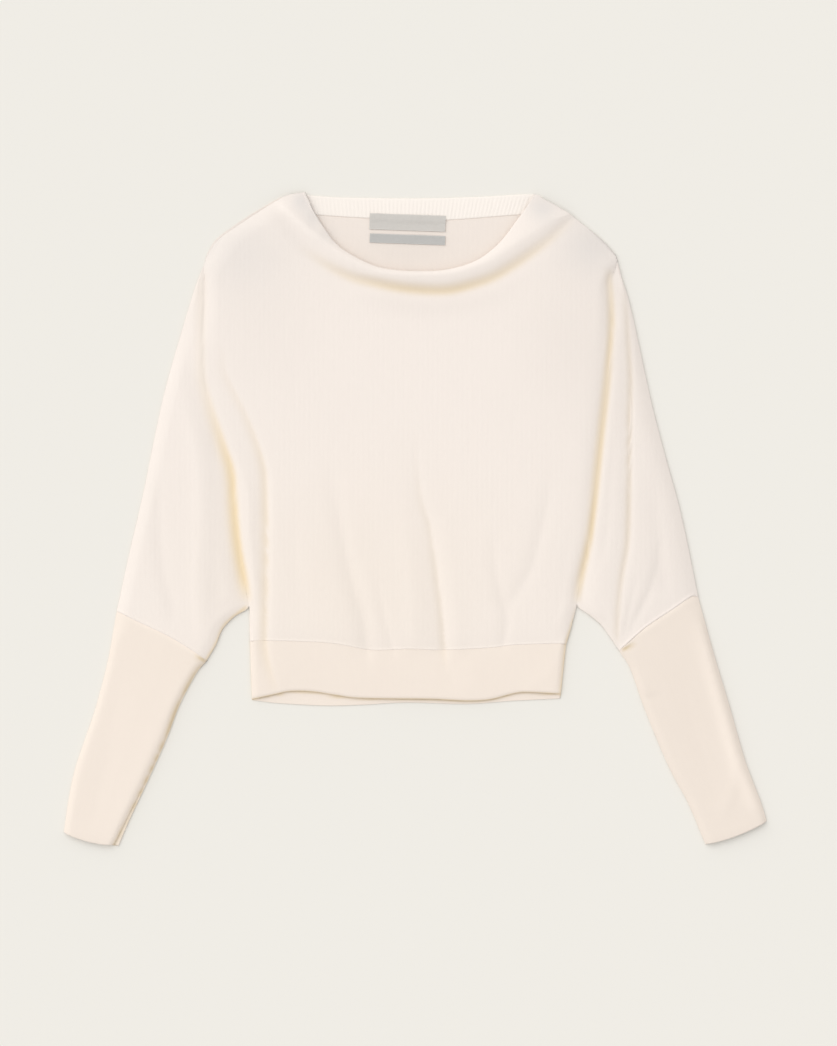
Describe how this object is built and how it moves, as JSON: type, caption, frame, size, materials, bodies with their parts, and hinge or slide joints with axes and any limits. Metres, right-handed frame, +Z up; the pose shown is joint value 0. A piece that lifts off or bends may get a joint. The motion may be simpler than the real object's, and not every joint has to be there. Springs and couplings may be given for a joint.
{
  "type": "cropped sweater",
  "caption": "Cropped batwing sweater in fine cream knit with a soft draped neck, long narrow cuffs and a deep hem band, laid flat.",
  "frame": {"origin": "middle of the laid-out garment's outline, on the surface that it rests on", "axes": "+X towards the garment's right-hand cuff in the picture, +Y towards its neck, +Z up from the surface through the back to the front"},
  "size_m": [0.7024, 0.6526, 0.0114],
  "materials": {
    "knit": "fine matt merino knit, cream",
    "band_knit": "closer matt merino knit, cream",
    "label": "woven satin, cool grey"
  },
  "bodies": {
    "root": {"back": "knit", "front": "knit", "hem_band": "band_knit", "cuff_left": "band_knit", "cuff_right": "band_knit", "back_neck_rib": "band_knit", "label_main": "label", "label_small": "label"}
  },
  "joints": []
}
